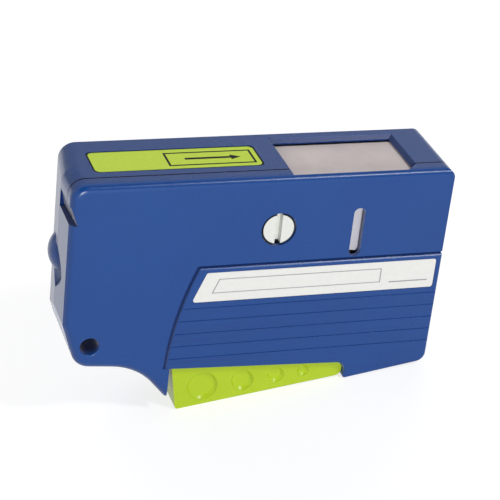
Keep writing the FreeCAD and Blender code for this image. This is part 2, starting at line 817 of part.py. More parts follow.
def make_front_cover():
    """Front half: front wall with a raised grip panel, and a skirt that is deep on the left."""
    body = new_body("front_cover")
    pad(body, "Face", ZERO, cover_depth, polygon(
        top_left, (face_end, ZERO), (face_end, face_low), (panel_x + top_round * 2, face_low), slot_left,
        beak_tip, beak_side, finger, heel, bend))
    case_rounds(body,
                ("TopRound", top_round, (top_left,)),
                ("FingerRound", finger_round, (finger,)),
                ("HeelRound", heel_round, (heel,)),
                ("BendRound", bend_round, (bend,)))
    left_end = beak_x.value - beak_width.value
    dress(body, "FrontRound", "Fillet", front_round, at_depth(ZERO, lambda p: (
        p.x < left_end or near(p.z, 0))))
    pocket(body, "RightSide", ZERO, cover_depth, beyond_right_side())
    pocket(body, "PanelChannel", ZERO, channel_deep, panel_outline(panel_channel))
    pad(body, "GripPanel", -panel_rise, cover_depth, panel_outline(ZERO))
    case_rounds(body,
                ("ToeRound", toe_round, (toe,)),
                ("FootRound", foot_round, (foot_tip,)),
                ("SlotRound", slot_round, (slot_right,)),
                ("BeakRound", beak_round, (beak_tip,)))
    dress(body, "PanelEdge", "Chamfer", panel_edge, at_depth(-panel_rise))
    grooves = []
    for i in range(GROOVES):
        top = -(groove_drop + groove_pitch * i)
        grooves.append(rectangle(finger_x, top - groove_width, case_width + wall, top))
    pocket(body, "GripGrooves", -panel_rise * 2, -panel_rise + groove_deep, *grooves)
    pocket(body, "LabelRecess", -panel_rise * 2, -panel_rise + label_recess, label_outline(ZERO))
    dress(body, "LabelCorners", "Fillet", label_round, through(*label_corners(ZERO)))

    pocket(body, "Cavity", wall, cover_depth, cavity(wall))
    cavity_round(body, wall)
    relief_top = -(lever_top_drop - swing_room)
    relief_end = pivot_x + arm_half + clearance * 2
    pocket(body, "LeverRelief", wall - panel_rise, wall * 1.5, polygon(
        (beak_x, -(tip_drop + wall)), (foot_x, -(tip_drop + wall)), (foot_x, -foot_wall_drop),
        (relief_end, -foot_wall_drop), (relief_end, relief_top), (beak_x, relief_top)))

    # Deep skirt on the left with thicker backing behind the notch and the scoop
    pad(body, "Skirt", wall, skirt_back, skirt(ZERO))
    pad(body, "NotchBacking", wall / 2, cover_depth, rectangle(
        wall / 2, -(skirt_top_drop + wall), wall + backing, -(notch_drop - wall)))
    pad(body, "ScoopBacking", wall / 2, skirt_back, scoop_backing(ZERO))
    cut_notch(body)
    cut_scoop(body)

    # Gap in the top flange for the window, its right end cut at an angle
    trench(body, "WindowGap", wall, -wall * 2, polygon(
        (window_x, cover_depth + wall), (window_x, wall), (window_end - window_corner, wall),
        (window_end, wall + window_corner), (window_end, cover_depth + wall)))
    dress(body, "WindowBevel", "Chamfer", window_bevel, window_rim)

    # Holes in the front wall, and the sockets and collar behind it
    strap_centre = (strap_x, -strap_drop)
    lock_centre = (lock_x, -lock_drop)
    pad(body, "StrapTube", wall / 2, skirt_back, circle(strap_centre, strap_radius + strap_tube))
    pocket(body, "StrapHole", -panel_rise, case_depth, circle(strap_centre, strap_radius))
    dress(body, "StrapLip", "Fillet", strap_lip, at_depth(ZERO, lambda p: near(
        math.hypot(p.x - strap_x.value, p.z + strap_drop.value), strap_radius.value)))
    pocket(body, "ViewSlot", -panel_rise, wall * 1.5, view_slot)
    collar = lock_flange + clearance
    pad(body, "LockCollar", wall / 2, wall + collar_height,
        circle(lock_centre, collar + collar_wall), circle(lock_centre, collar))
    pocket(body, "LockHole", -panel_rise, wall * 1.5, circle(lock_centre, lock_radius + lock_gap))
    for name, centre in (("TakeUp", (take_up_x, -take_up_drop)), ("Supply", (supply_x, -supply_drop))):
        inner = post_radius + clearance / 2
        pad(body, name + "Socket", wall / 2, hub_front - clearance,
            circle(centre, inner + socket_wall), circle(centre, inner))
    pocket(body, "PivotSocket", wall - panel_rise - pin_socket, wall,
           circle((pivot_x, -pivot_drop), pivot_radius + seat))
    return body


def label_corners(margin):
    """Corners of the white label on the grip panel, drawn in by a margin."""
    top = -(front_label_drop + margin)
    low = -(front_label_drop + front_label_height - margin)
    right = case_width - front_label_right - margin
    return ((front_label_x + margin, top), (right, top), (right, low),
            (front_label_x - front_label_slant + margin, low))


def label_outline(margin):
    """The white label's outline, slanted on the left like the panel."""
    return polygon(*label_corners(margin))


def make_front_label():
    """Printed foil label in its recess on the grip panel."""
    body = new_body("front_label")
    back = -panel_rise + label_recess
    pad(body, "Foil", back - label_thick, back, label_outline(label_margin))
    dress(body, "Corners", "Fillet", label_round - label_margin, through(*label_corners(label_margin)))
    return body


def make_top_label():
    """Printed foil label in its recess on the top."""
    body = new_body("top_label")
    left = top_label_x + label_margin
    right = top_label_x + top_label_length - label_margin
    front = top_label_depth + label_margin
    back = top_label_depth + top_label_width - label_margin
    block(body, "Foil", -label_recess, -label_recess + label_thick, rectangle(left, front, right, back))
    dress(body, "Corners", "Fillet", top_label_round - label_margin, upright(
        (left, front), (right, front), (right, back), (left, back)))
    return body


def from_pivot(x, drop):
    """A point of the lever, measured from its pivot."""
    return x - pivot_x, pivot_drop - drop


def tooth_gap(pitch_radius):
    """Outline of the space between two teeth, along the sketch's own X axis."""
    low = pitch_radius - dedendum
    high = pitch_radius + addendum * 1.5
    half = module * (math.pi / 2) * (as_dim(1) - tooth_share)
    lean = math.tan(math.radians(20))
    low_half = half - dedendum * lean
    high_half = half + addendum * (1.5 * lean)
    return polygon((low, -low_half), (high, -high_half), (high, high_half), (low, low_half))


def cut_teeth(body, pitch_radius, front, back, start, count, span):
    """A row of tooth spaces about the body's axis, from a start angle, over a span of angle."""
    base_volume = body.Shape.Volume
    turn = FreeCAD.Rotation(V(0, 0, 1), start)
    sketch = new_sketch(body, "ToothSpace", "XZ_Plane", -front, [tooth_gap(pitch_radius)], turn)
    cut = body.newObject("PartDesign::Pocket", "ToothSpace")
    cut.Profile = sketch
    cut.setExpression("Length", (back - front).text)
    row = body.newObject("PartDesign::PolarPattern", "Teeth")
    row.Originals = [cut]
    row.Axis = (sketch, ["N_Axis"])
    row.Angle = span
    row.Occurrences = count
    body.Tip = row
    doc.recompute()
    require(body.Shape.Volume < base_volume, "%s has no teeth" % body.Label)


def make_lever():
    """Hollow squeeze lever, drawn about its pivot, with a curved rack on its rear wall."""
    body = new_body("lever")
    high = lever_end_drop - lever_end_height
    neck = lever_end_x - lever_neck
    arm_end = pivot_x + arm_half
    corners = {
        "top": from_pivot(lever_x, lever_top_drop),
        "tip": from_pivot(tip_x, tip_drop),
        "end_low": from_pivot(lever_end_x, lever_end_drop),
        "end_high": from_pivot(lever_end_x, high),
        "neck_low": from_pivot(neck, high),
        "neck_high": from_pivot(neck, pivot_drop + arm_half),
        "arm_low": from_pivot(arm_end, pivot_drop + arm_half),
        "arm_high": from_pivot(arm_end, pivot_drop - arm_half),
    }
    pad(body, "Outline", lever_front, lever_back, polygon(*corners.values()))
    case_rounds(body,
                ("EndRound", lever_end_round, (corners["end_low"], corners["end_high"])),
                ("TipRound", foot_round, (corners["tip"],)),
                ("ArmRound", arm_half * 0.9, (corners["arm_low"], corners["arm_high"])))
    inner_front = lever_front + lever_wall
    inner_back = lever_back - lever_wall
    floor = lever_wall * 1.15
    above = ledge_drop
    past = arm_end + wall
    pocket(body, "Hollow", inner_front, inner_back, polygon(
        from_pivot(lever_x + lever_wall, above),
        from_pivot(lever_x + lever_wall, lever_top_drop),
        from_pivot(tip_x + lever_wall, tip_drop - floor),
        from_pivot(neck, lever_end_drop - floor),
        from_pivot(neck, high + seat),
        from_pivot(past, high + seat),
        from_pivot(past, above)))

    # Pivot bosses on the two arms, and the bore for the pin
    pad(body, "FrontBoss", lever_front, tape_front - clearance, circle((ZERO, ZERO), arm_half - seat))
    pad(body, "RearBoss", flange_back + clearance, lever_back, circle((ZERO, ZERO), arm_half - seat))
    pocket(body, "PivotBore", ZERO, case_depth, circle((ZERO, ZERO), pivot_radius + running))

    # Flat seat for the return spring, standing on the sloping floor
    low = pivot_drop - coil_seat_drop - coil_seat_height
    block(body, "SpringSeat", low, low + coil_seat_height,
          circle((coil_x - pivot_x, coil_depth), coil_seat_radius))

    # Row of round dimples on the front, each smaller and a little higher over the bottom edge
    dimples = []
    along = dimple_x
    radius = dimple_radius
    slope = (tip_drop - lever_end_drop) / (lever_end_x - tip_x)
    for i in range(DIMPLES):
        bottom = tip_drop - slope * (along - tip_x)
        centre = from_pivot(along, bottom - dimple_margin - dimple_lift * i - radius)
        dimples.append(circle(centre, radius))
        along = along + dimple_step * (1 - 0.155 * i)
        radius = radius * dimple_shrink
    pocket(body, "Dimples", ZERO, lever_front + dimple_deep, *dimples)
    dress(body, "DimpleBowls", "Chamfer", dimple_bevel, at_depth(lever_front + dimple_deep))

    # Curved rack: a band about the pivot, then its teeth
    pitch = 360 / rack_circle_teeth.value
    top_angle = mesh_angle - 3.2 * pitch
    foot_angle = 184
    outer = rack_pitch_radius + addendum
    inner = rack_pitch_radius - dedendum - rack_arm
    turn = FreeCAD.Rotation(V(0, 1, 0), -foot_angle)
    section = [rectangle(inner, inner_back, outer, lever_back)]
    sketch = new_sketch(body, "RackBand", "XY_Plane", ZERO, section, turn)
    band = body.newObject("PartDesign::Revolution", "RackBand")
    band.Profile = sketch
    band.ReferenceAxis = (sketch, ["V_Axis"])
    band.Angle = foot_angle - top_angle
    doc.recompute()
    cut_teeth(body, rack_pitch_radius, inner_back - clearance, lever_back + clearance,
              mesh_angle - 2.5 * pitch, RACK_TEETH, (RACK_TEETH - 1) * pitch)
    return body


def make_drive_gear():
    """Gear with a long sleeve that runs on the take-up post."""
    body = new_body("drive_gear")
    bore = post_radius + running
    rim = gear_pitch_radius + addendum
    turned(body, "Blank", (bore, clutch_front), (sleeve_radius, clutch_front), (sleeve_radius, gear_front),
           (rim, gear_front), (rim, gear_back), (bore, gear_back))
    cut_teeth(body, gear_pitch_radius, gear_front - clearance, gear_back + clearance,
              mesh_angle + 180, int(gear_teeth.value), 360)
    return body


def make_one_way_clutch():
    """Drawn-cup roller clutch, pressed into the core, gripping the gear's sleeve one way."""
    body = new_body("one_way_clutch")
    bore = sleeve_radius + running
    turned(body, "Cup", (bore, clutch_front), (clutch_radius, clutch_front),
           (clutch_radius, clutch_front + clutch_length), (bore, clutch_front + clutch_length))
    return body


def make_take_up_core():
    """Core for the used tape: hub in front, seat for the clutch behind, one flange."""
    body = new_body("take_up_core")
    bore = post_radius + running
    rim = core_radius - core_wall
    seat_radius = clutch_radius + seat
    hub_back = hub_front + hub_length
    turned(body, "Core", (bore, hub_front), (rim, hub_front), (rim, tape_front), (core_radius, tape_front),
           (core_radius, tape_back), (take_up_flange, tape_back), (take_up_flange, flange_back),
           (seat_radius, flange_back), (seat_radius, hub_back), (bore, hub_back))
    return body


def make_supply_core():
    """Core of the full roll: hub, web and rim, with a flange at each end."""
    body = new_body("supply_core")
    bore = post_radius + running
    hub = bore + core_wall
    rim = core_radius - core_wall
    web_front = hub_front + hub_length
    web_back = web_front + core_wall
    front = lever_front + lever_wall + clearance
    turned(body, "Core", (bore, hub_front), (hub, hub_front), (hub, web_front), (rim, web_front),
           (rim, front), (supply_full, front), (supply_full, tape_front), (core_radius, tape_front),
           (core_radius, tape_back), (supply_flange, tape_back), (supply_flange, flange_back),
           (rim, flange_back), (rim, web_back), (hub, web_back), (hub, flange_back), (bore, flange_back))
    return body


def make_roll(label, full):
    """Tape wound on a core."""
    body = new_body(label)
    turns = core_radius + seat
    front = tape_front + seat
    back = tape_back - seat
    turned(body, "Turns", (turns, front), (full, front), (full, back), (turns, back))
    return body


def make_guide_roller(label):
    """Plain roller that turns the tape at an end of the window."""
    body = new_body(label)
    bore = guide_pin + running
    turned(body, "Roller", (bore, tape_front), (guide_radius, tape_front), (guide_radius, tape_back),
           (bore, tape_back))
    return body


def make_pin(label, radius, front):
    """Steel pin from a given depth into its socket in the rear wall."""
    pin = doc.addObject("Part::Cylinder", label)
    pin.Label = label
    pin.setExpression("Radius", radius.text)
    pin.setExpression("Height", (rear_inner + pin_socket - front).text)
    doc.recompute()
    return pin


def make_platen():
    """Moulded backing plate under the tape, with a recess for the rubber pad."""
    body = new_body("platen")
    top = -platen_drop
    block(body, "Plate", top - platen_thick, top, rectangle(
        platen_left, wall + clearance, platen_right, rear_inner))
    trench(body, "PadRecess", top + wall, top - pad_thick, rectangle(
        platen_left + pad_margin, tape_front, platen_right - pad_margin, tape_back))
    return body


def make_platen_pad():
    """Rubber pad that lies under the tape."""
    body = new_body("platen_pad")
    low = -platen_drop - pad_thick
    block(body, "Pad", low, -(tape_drop + tape_thick), rectangle(
        platen_left + pad_margin + seat, tape_front + seat,
        platen_right - pad_margin - seat, tape_back - seat))
    return body


def make_cover_lock():
    """Quarter-turn lock: coin-slot head, flange behind the wall, stem and cross bar."""
    body = new_body("cover_lock")
    flange_front = wall + clearance / 2
    flange_rear = flange_front + wall
    bar_front = tower_front + tower_plate + clearance
    bar_back = bar_front + bar_thick
    turned(body, "Stem", (ZERO, lock_recess), (lock_radius, lock_recess), (lock_radius, flange_front),
           (lock_flange, flange_front), (lock_flange, flange_rear), (lock_stem, flange_rear),
           (lock_stem, bar_back), (ZERO, bar_back))
    half = bar_length / 2
    pad(body, "Bar", bar_front, bar_back, rectangle(-bar_width / 2, -half, bar_width / 2, half))
    pocket(body, "CoinSlot", ZERO, lock_recess + coin_deep, rectangle(
        -coin_width / 2, -lock_flange, coin_width / 2, lock_flange))
    return body


def make_lever_spring():
    """Compression spring between the lever and the case's ledge."""
    body = new_body("lever_spring")
    height = coil_seat_drop - ledge_drop
    angles = [math.radians(22.5 + 45 * i) for i in range(8)]
    section = [(coil_radius + coil_wire * math.cos(a), coil_wire * (1 + math.sin(a))) for a in angles]
    sketch = new_sketch(body, "Wire", "XZ_Plane", ZERO, [polygon(*section)])
    coil = body.newObject("PartDesign::AdditiveHelix", "Coil")
    coil.Profile = sketch
    coil.ReferenceAxis = (sketch, ["V_Axis"])
    coil.Mode = "height-turns-angle"
    coil.setExpression("Height", (height - coil_wire * 2).text)
    coil.setExpression("Turns", coil_turns.text)
    doc.recompute()
    return body


brake_x = supply_x + brake_radius
felt_front = flange_back + clearance / 3


def make_brake_pad():
    """Felt pad that rubs on the supply core's flange."""
    body = new_body("brake_pad")
    half = leaf_width / 2
    block(body, "Felt", -supply_drop - half, -supply_drop + half, rectangle(
        brake_x - felt_length / 2, felt_front, brake_x + felt_length / 2, felt_front + felt_thick))
    return body


def make_brake_spring():
    """Bent leaf spring that carries the felt, its foot on the rear wall."""
    body = new_body("brake_spring")
    half = leaf_width / 2
    front = felt_front + felt_thick
    left = brake_x - felt_length / 2
    knee = brake_x + felt_length / 2
    heel_end = knee + felt_length / 2
    block(body, "Leaf", -supply_drop - half, -supply_drop + half, polygon(
        (left, front), (knee, front), (heel_end, rear_inner - leaf_thick),
        (heel_end + felt_length, rear_inner - leaf_thick), (heel_end + felt_length, rear_inner),
        (heel_end - leaf_thick, rear_inner), (knee - leaf_thick, front + leaf_thick),
        (left, front + leaf_thick)))
    return body


def spot(x, drop):
    """Place of a piece that is drawn about its own axis."""
    return V(x.value, 0, -drop.value)


def make_cleaning_tape():
    """Tape from the supply roll over the guides and the platen to the take-up roll."""
    gap = clearance.value
    thick = tape_thick.value
    bend = (guide_radius + running).value
    depth = V(0, tape_front.value, 0)
    stations = [
        (spot(supply_x, supply_drop) + depth, supply_full.value + gap),
        (spot(guide_right_x, guide_drop) + depth, bend),
        (spot(guide_left_x, guide_drop) + depth, bend),
        (spot(take_up_x, take_up_drop) + depth, take_up_full.value + gap),
    ]

    def face(extra):
        """Straight runs and arcs round the guides, at a distance from the rollers."""
        runs = []
        for (c1, r1), (c2, r2) in zip(stations, stations[1:]):
            way = c2 - c1
            bearing = math.atan2(way.z, way.x) - math.acos((r1 - r2) / way.Length)
            out = V(math.cos(bearing), 0, math.sin(bearing))
            runs.append((c1 + out * (r1 + extra), c2 + out * (r2 + extra)))
        edges = []
        for i, (start, end) in enumerate(runs):
            edges.append(Part.LineSegment(start, end).toShape())
            if i + 1 < len(runs):
                centre, radius = stations[i + 1]
                after = runs[i + 1][0]
                middle = ((end - centre) + (after - centre)).normalize() * (radius + extra)
                edges.append(Part.Arc(end, centre + middle, after).toShape())
        return edges

    inside = face(0)
    outside = face(thick)
    first = Part.LineSegment(inside[0].Vertexes[0].Point, outside[0].Vertexes[0].Point).toShape()
    last = Part.LineSegment(inside[-1].Vertexes[-1].Point, outside[-1].Vertexes[-1].Point).toShape()
    wire = Part.Wire(Part.__sortEdges__(inside + outside + [first, last]))
    ribbon = Part.Face(wire).extrude(V(0, (tape_back - tape_front).value, 0))
    tape = doc.addObject("Part::Feature", "cleaning_tape")
    tape.Label = "cleaning_tape"
    tape.Shape = ribbon
    return tape


HERE = V(0, 0, 0)
into_wall = FreeCAD.Rotation(V(1, 0, 0), -90)
pivot_front = wall - panel_rise - pin_socket + seat
guide_front = tape_front - clearance * 2
PARTS = [
    (make_rear_case(), HERE),
    (make_front_cover(), HERE),
    (make_front_label(), HERE),
    (make_top_label(), HERE),
    (make_lever(), spot(pivot_x, pivot_drop)),
    (make_drive_gear(), spot(take_up_x, take_up_drop)),
    (make_one_way_clutch(), spot(take_up_x, take_up_drop)),
    (make_take_up_core(), spot(take_up_x, take_up_drop)),
    (make_roll("take_up_roll", take_up_full), spot(take_up_x, take_up_drop)),
    (make_supply_core(), spot(supply_x, supply_drop)),
    (make_roll("supply_roll", supply_full), spot(supply_x, supply_drop)),
    (make_guide_roller("guide_roller_left"), spot(guide_left_x, guide_drop)),
    (make_guide_roller("guide_roller_right"), spot(guide_right_x, guide_drop)),
    (make_platen(), HERE),
    (make_platen_pad(), HERE),
    (make_cover_lock(), spot(lock_x, lock_drop)),
    (make_lever_spring(), V(coil_x.value, coil_depth.value, -coil_seat_drop.value)),
    (make_brake_pad(), HERE),
    (make_brake_spring(), HERE),
    (make_cleaning_tape(), HERE),
]
PINS = [
    (make_pin("lever_pin", pivot_radius, pivot_front), spot(pivot_x, pivot_drop), pivot_front),
    (make_pin("guide_pin_left", guide_pin, guide_front), spot(guide_left_x, guide_drop), guide_front),
    (make_pin("guide_pin_right", guide_pin, guide_front), spot(guide_right_x, guide_drop), guide_front),
]
places = [(part, FreeCAD.Placement(base, FreeCAD.Rotation())) for part, base in PARTS]
for part, base, front in PINS:
    places.append((part, FreeCAD.Placement(base + V(0, front.value, 0), into_wall)))
doc.recompute()

failed = [o.Label for o in doc.Objects if set(o.State) & {"Invalid", "Error"}]
require(not failed, "failed objects: %s" % failed)

# Lean the cassette onto the lever tip and the foot, then centre it over the origin
lean = math.degrees(math.atan2(tip_drop.value - foot_drop.value, foot_x.value - tip_x.value))
leaning = FreeCAD.Placement(V(0, 0, 0), FreeCAD.Rotation(V(0, 1, 0), lean))
box = FreeCAD.BoundBox()
for part, place in places:
    part.Placement = leaning.multiply(place)
    box.add(part.Shape.optimalBoundingBox())
stand = FreeCAD.Placement(V(-box.Center.x, -box.Center.y, -box.ZMin), FreeCAD.Rotation()).multiply(leaning)
for part, place in places:
    part.Placement = stand.multiply(place)
doc.recompute()

for part, place in places:
    shape = part.Shape
    require(not shape.isNull() and shape.isValid(), "%s has no valid shape" % part.Label)
    require(len(shape.Solids) == 1, "%s is not one solid" % part.Label)

os.makedirs("parts", exist_ok=True)
for part, place in places:
    part.Shape.exportStep("parts/%s.step" % part.Label)
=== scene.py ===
import json
import math

import bpy
import numpy as np
from mathutils import Matrix, Vector


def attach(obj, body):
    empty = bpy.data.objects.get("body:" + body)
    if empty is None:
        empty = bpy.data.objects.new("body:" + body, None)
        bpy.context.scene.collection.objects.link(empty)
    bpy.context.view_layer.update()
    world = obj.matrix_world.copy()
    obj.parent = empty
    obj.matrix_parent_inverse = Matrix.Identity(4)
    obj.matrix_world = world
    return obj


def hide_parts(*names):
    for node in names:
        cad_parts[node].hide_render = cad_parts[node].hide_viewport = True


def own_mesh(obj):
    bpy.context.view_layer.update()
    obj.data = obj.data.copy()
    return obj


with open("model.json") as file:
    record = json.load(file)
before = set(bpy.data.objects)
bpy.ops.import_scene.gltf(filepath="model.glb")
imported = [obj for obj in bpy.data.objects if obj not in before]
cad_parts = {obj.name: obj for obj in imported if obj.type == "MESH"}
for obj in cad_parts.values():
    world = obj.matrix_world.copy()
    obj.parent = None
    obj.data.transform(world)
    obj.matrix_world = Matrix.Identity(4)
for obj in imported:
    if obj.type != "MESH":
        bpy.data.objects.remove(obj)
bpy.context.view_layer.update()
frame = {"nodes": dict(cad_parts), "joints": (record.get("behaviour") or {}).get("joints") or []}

nodes = frame["nodes"]


# Case halves: rear case and front cover, injection-moulded in royal blue ABS with a fine spark
# texture. They close along one seam and the lock holds them. The cover carries the raised grip
# panel, finely ribbed between its grooves. Painted shade darkens the seam, bore, channel and recesses.

class Sock:
    """A shader socket: operators on it add Math nodes, and `node` adds any other node."""

    tree = None

    def __init__(self, socket):
        self.socket = socket

    @classmethod
    def node(cls, kind, settings=None, inputs=None, output=0):
        """A node of the given type: its settings are set first, then its sockets' values or links."""
        made = cls.tree.nodes.new(kind)
        for name, value in (settings or {}).items():
            setattr(made, name, value)
        for name, value in (inputs or {}).items():
            if isinstance(value, Sock):
                cls.tree.links.new(value.socket, made.inputs[name])
            else:
                made.inputs[name].default_value = value
        return cls(made.outputs[output])

    def math(self, operation, *others):
        """A Math node on this value and the others."""
        return Sock.node("ShaderNodeMath", {"operation": operation}, dict(enumerate((self,) + others)))

    def __add__(self, other):
        return self.math("ADD", other)

    def __sub__(self, other):
        return self.math("SUBTRACT", other)

    def __mul__(self, other):
        return self.math("MULTIPLY", other)

    __radd__ = __add__
    __rmul__ = __mul__

    def __rsub__(self, other):
        return Sock.node("ShaderNodeMath", {"operation": "SUBTRACT"}, {0: other, 1: self})

    def step(self, low, high):
        """0 below low, 1 above high, smooth between."""
        return Sock.node("ShaderNodeMapRange", {"interpolation_type": "SMOOTHSTEP"},
                         {"Value": self, "From Min": low, "From Max": high})

    def under(self, low, high):
        """1 below low, 0 above high, smooth between."""
        return 1 - self.step(low, high)

    def band(self, low, high, soft=0.00008):
        """1 between two values, 0 outside: a step up at the first times a step down at the second."""
        return self.step(low - soft, low + soft) * self.under(high - soft, high + soft)

    def most(self, *others):
        """The greatest of this value and the others."""
        greatest = self
        for other in others:
            greatest = greatest.math("MAXIMUM", other)
        return greatest

    def mix(self, first, second):
        """First colour where this is 0, second where it is 1."""
        return Sock.node("ShaderNodeMix", {"data_type": "RGBA"}, {0: self, 6: first, 7: second}, 2)


def linear(*srgb):
    """Linear colour of an sRGB one given in 0 to 255, by the standard's two-part curve."""
    part = np.array(srgb) / 255.0
    low = part / 12.92
    high = ((part + 0.055) / 1.055) ** 2.4
    return tuple(np.where(part <= 0.04045, low, high)) + (1.0,)


def begin(name):
    """A new node material, its shader, and its Object coordinates."""
    made = bpy.data.materials.new(name)
    made.use_nodes = True
    Sock.tree = made.node_tree
    shader = made.node_tree.nodes["Principled BSDF"]
    place = Sock.node("ShaderNodeTexCoord", output=3)
    return made, shader, place


def feed(shader, **inputs):
    """Sets or links the shader's sockets, named with underscores for spaces."""
    for name, value in inputs.items():
        socket = shader.inputs[name.replace("_", " ")]
        if isinstance(value, Sock):
            Sock.tree.links.new(value.socket, socket)
        else:
            socket.default_value = value


def noise(place, scale, detail=3.0, rough=0.55):
    """Noise from 0 to 1, with so many grains to the metre."""
    return Sock.node("ShaderNodeTexNoise", {}, {
        "Vector": place, "Scale": scale, "Detail": detail, "Roughness": rough})


def stretched(place, scale):
    """Coordinates scaled apart, for a pattern drawn out along one of them."""
    return Sock.node("ShaderNodeMapping", {}, {"Vector": place, "Scale": scale})


def bump(height, depth):
    """Normal of a relief: the height from 0 to 1 and its depth in metres."""
    return Sock.node("ShaderNodeBump", {}, {"Height": height, "Distance": depth, "Strength": 1.0})


def dress(made, *names):
    """Gives the material to CAD nodes."""
    for name in names:
        mesh = nodes[name].data
        mesh.materials.clear()
        mesh.materials.append(made)


def axle(joint):
    """Where a joint's axis lies."""
    return Vector(next(j for j in frame["joints"] if j["name"] == joint)["pos_m"])


# The case leans on its lever tip. Its own frame has X along the top from the left end, Y from the
# front and Z up from the top face; the two guide rollers lie level in it.
GUIDE_LEFT = Vector((0.0645, 0.01475, -0.00466))
guide_at = axle("guide_left_turn")
apart = axle("guide_right_turn") - guide_at
LEAN = math.atan2(-apart.z, apart.x)
TO_CASE = Matrix.Rotation(-LEAN, 4, "Y")
TO_CASE.translation = GUIDE_LEFT - TO_CASE.to_3x3() @ (guide_at * Vector((1.0, 0.0, 1.0)))
TO_HERE = TO_CASE.inverted()


def case_frame(place):
    """Object coordinates turned into the case's own frame."""
    return Sock.node("ShaderNodeMapping", {"vector_type": "POINT"}, {
        "Vector": place, "Location": TO_CASE.translation, "Rotation": TO_CASE.to_euler()})


def split(place):
    """The three coordinates apart."""
    made = Sock.node("ShaderNodeSeparateXYZ", {}, {"Vector": place}).socket.node
    return [Sock(made.outputs[i]) for i in range(3)]


def distance(first, second, to_first, to_second):
    """Distance in a plane from a given point: the root of the sum of the two squares."""
    off, up = first - to_first, second - to_second
    return (off * off + up * up).math("SQRT")


# Where the painted shade lies, in metres in the case's own frame; a hair is how soft its edges are.
HAIR = 0.0001
PANEL_FRONT, RIB_FIELD_TOP = -0.0005, -0.0422
SEAM_FRONT, SEAM_BACK, SEAM_SPREAD = 0.0052, 0.00555, 0.00018
SKIRT_END, SKIRT_LOW = 0.02, -0.0128
STRAP_X, STRAP_Z, STRAP_RADIUS = 0.0084, -0.0547, 0.0029
BORE_LIT, BORE_DARK = 0.0002, 0.003
ARC_X, ARC_Z, CHANNEL_RADIUS = 0.13687, -0.0699, 0.105
CHANNEL_LOW, CHANNEL_HIGH, CHANNEL_RIGHT = -0.0645, -0.0287, 0.1199
CHANNEL_TOP, CHANNEL_FLOOR = 0.0003, 0.0009
NOTCH_FLOOR, NOTCH_ROOF, NOTCH_BACK = -0.0129, -0.0072, 0.014
NOTCH_TOP, NOTCH_SLOPE, NOTCH_SKIN = 0.0003, 0.375, 0.00003
WINDOW_LEFT, WINDOW_RIGHT, WINDOW_FRONT, WINDOW_BACK = 0.0678, 0.1092, 0.0017, 0.0272
WINDOW_LOW, WINDOW_RIM, RIM_SOFT = -0.0065, -0.00012, 0.00004
# How strong the painted shade is in each
BORE_SHADE, CHANNEL_SHADE, NOTCH_SHADE, WINDOW_SHADE = 0.8, 0.5, 0.6, 0.5
# Grains to the metre of the spark texture and of slow clouds in the colour; depths in metres
SPARK, SPARK_DEPTH, CASE_CLOUD = 2600.0, 0.000003, 45.0
RIB_STRETCH, RIB_STRENGTH = (12.0, 12.0, 1500.0), 0.35

case_plastic, shader, place = begin("case_plastic")
own = case_frame(place)
along, depth, height = split(own)
cloud = noise(place, CASE_CLOUD, 2.0)
spark = noise(place, SPARK, 4.0, 0.6)
ribs = noise(stretched(own, RIB_STRETCH), 1.0, 2.0)
on_ribs = depth.under(PANEL_FRONT + 0.5 * HAIR, PANEL_FRONT + 2.5 * HAIR) * height.under(
    RIB_FIELD_TOP - 2 * HAIR, RIB_FIELD_TOP)
blue = (cloud * 0.4 + spark * 0.6).step(0.25, 0.75).mix(linear(11, 65, 137), linear(14, 71, 144))
ribbed_blue = (ribs.step(0.45, 0.75) * on_ribs * RIB_STRENGTH).mix(blue, linear(20, 54, 118))
relief = spark * 0.5 + ribs * on_ribs * 0.5
# Painted shade darkens the seam's gap. The seam lies at one depth all round, except on the left
# below the notch, where the cover's skirt is deep.
past_skirt = along.step(SKIRT_END - HAIR, SKIRT_END + HAIR)
over_skirt = height.step(SKIRT_LOW - HAIR, SKIRT_LOW + HAIR)
on_seam = depth.band(SEAM_FRONT - SEAM_SPREAD, SEAM_BACK + SEAM_SPREAD, HAIR / 2) * (
    past_skirt.most(over_skirt))
# Painted shade darkens the strap hole's bore beyond its lit lip.
from_strap = distance(along, height, STRAP_X, STRAP_Z)
in_bore = from_strap.under(STRAP_RADIUS + HAIR / 2, STRAP_RADIUS + HAIR) * (
    depth.step(BORE_LIT, BORE_DARK))
# Painted shade fills the channel, which follows the panel's arc on the left and its top edge.
from_arc = distance(along, height, ARC_X, ARC_Z)
in_channel = from_arc.under(CHANNEL_RADIUS, CHANNEL_RADIUS + HAIR) * (
    height.band(CHANNEL_LOW, CHANNEL_HIGH) * depth.band(CHANNEL_TOP, CHANNEL_FLOOR)
    * along.under(CHANNEL_RIGHT - HAIR, CHANNEL_RIGHT + HAIR))
# Painted shade darkens the notch, whose inner wall leans in evenly from its top down.
notch_wall = NOTCH_TOP + (NOTCH_ROOF - height) * NOTCH_SLOPE
in_notch = (along - notch_wall).under(NOTCH_SKIN, 4 * NOTCH_SKIN) * (
    height.band(NOTCH_FLOOR, NOTCH_ROOF) * depth.under(NOTCH_BACK, NOTCH_BACK + HAIR))
# Painted shade darkens the window's bevels and walls below its rim.
in_window = along.band(WINDOW_LEFT, WINDOW_RIGHT) * depth.band(WINDOW_FRONT, WINDOW_BACK) * (
    height.band(WINDOW_LOW, WINDOW_RIM, RIM_SOFT))
# Together these masks give the painted shade, mixed towards a dark blue.
shade = on_seam.most(in_bore * BORE_SHADE, in_channel * CHANNEL_SHADE, in_notch * NOTCH_SHADE,
                     in_window * WINDOW_SHADE)
feed(shader, Base_Color=shade.mix(ribbed_blue, linear(14, 22, 76)), Roughness=0.24 + cloud * 0.06,
     Normal=bump(relief, SPARK_DEPTH), Specular_IOR_Level=0.42, Sheen_Weight=0.3, Sheen_Roughness=0.35)
dress(case_plastic, "rear_case", "front_cover")


# Front label: white printed foil in the grip panel's recess. It carries an empty outlined field
# with a slanted end and a short rule, in thin grey line.

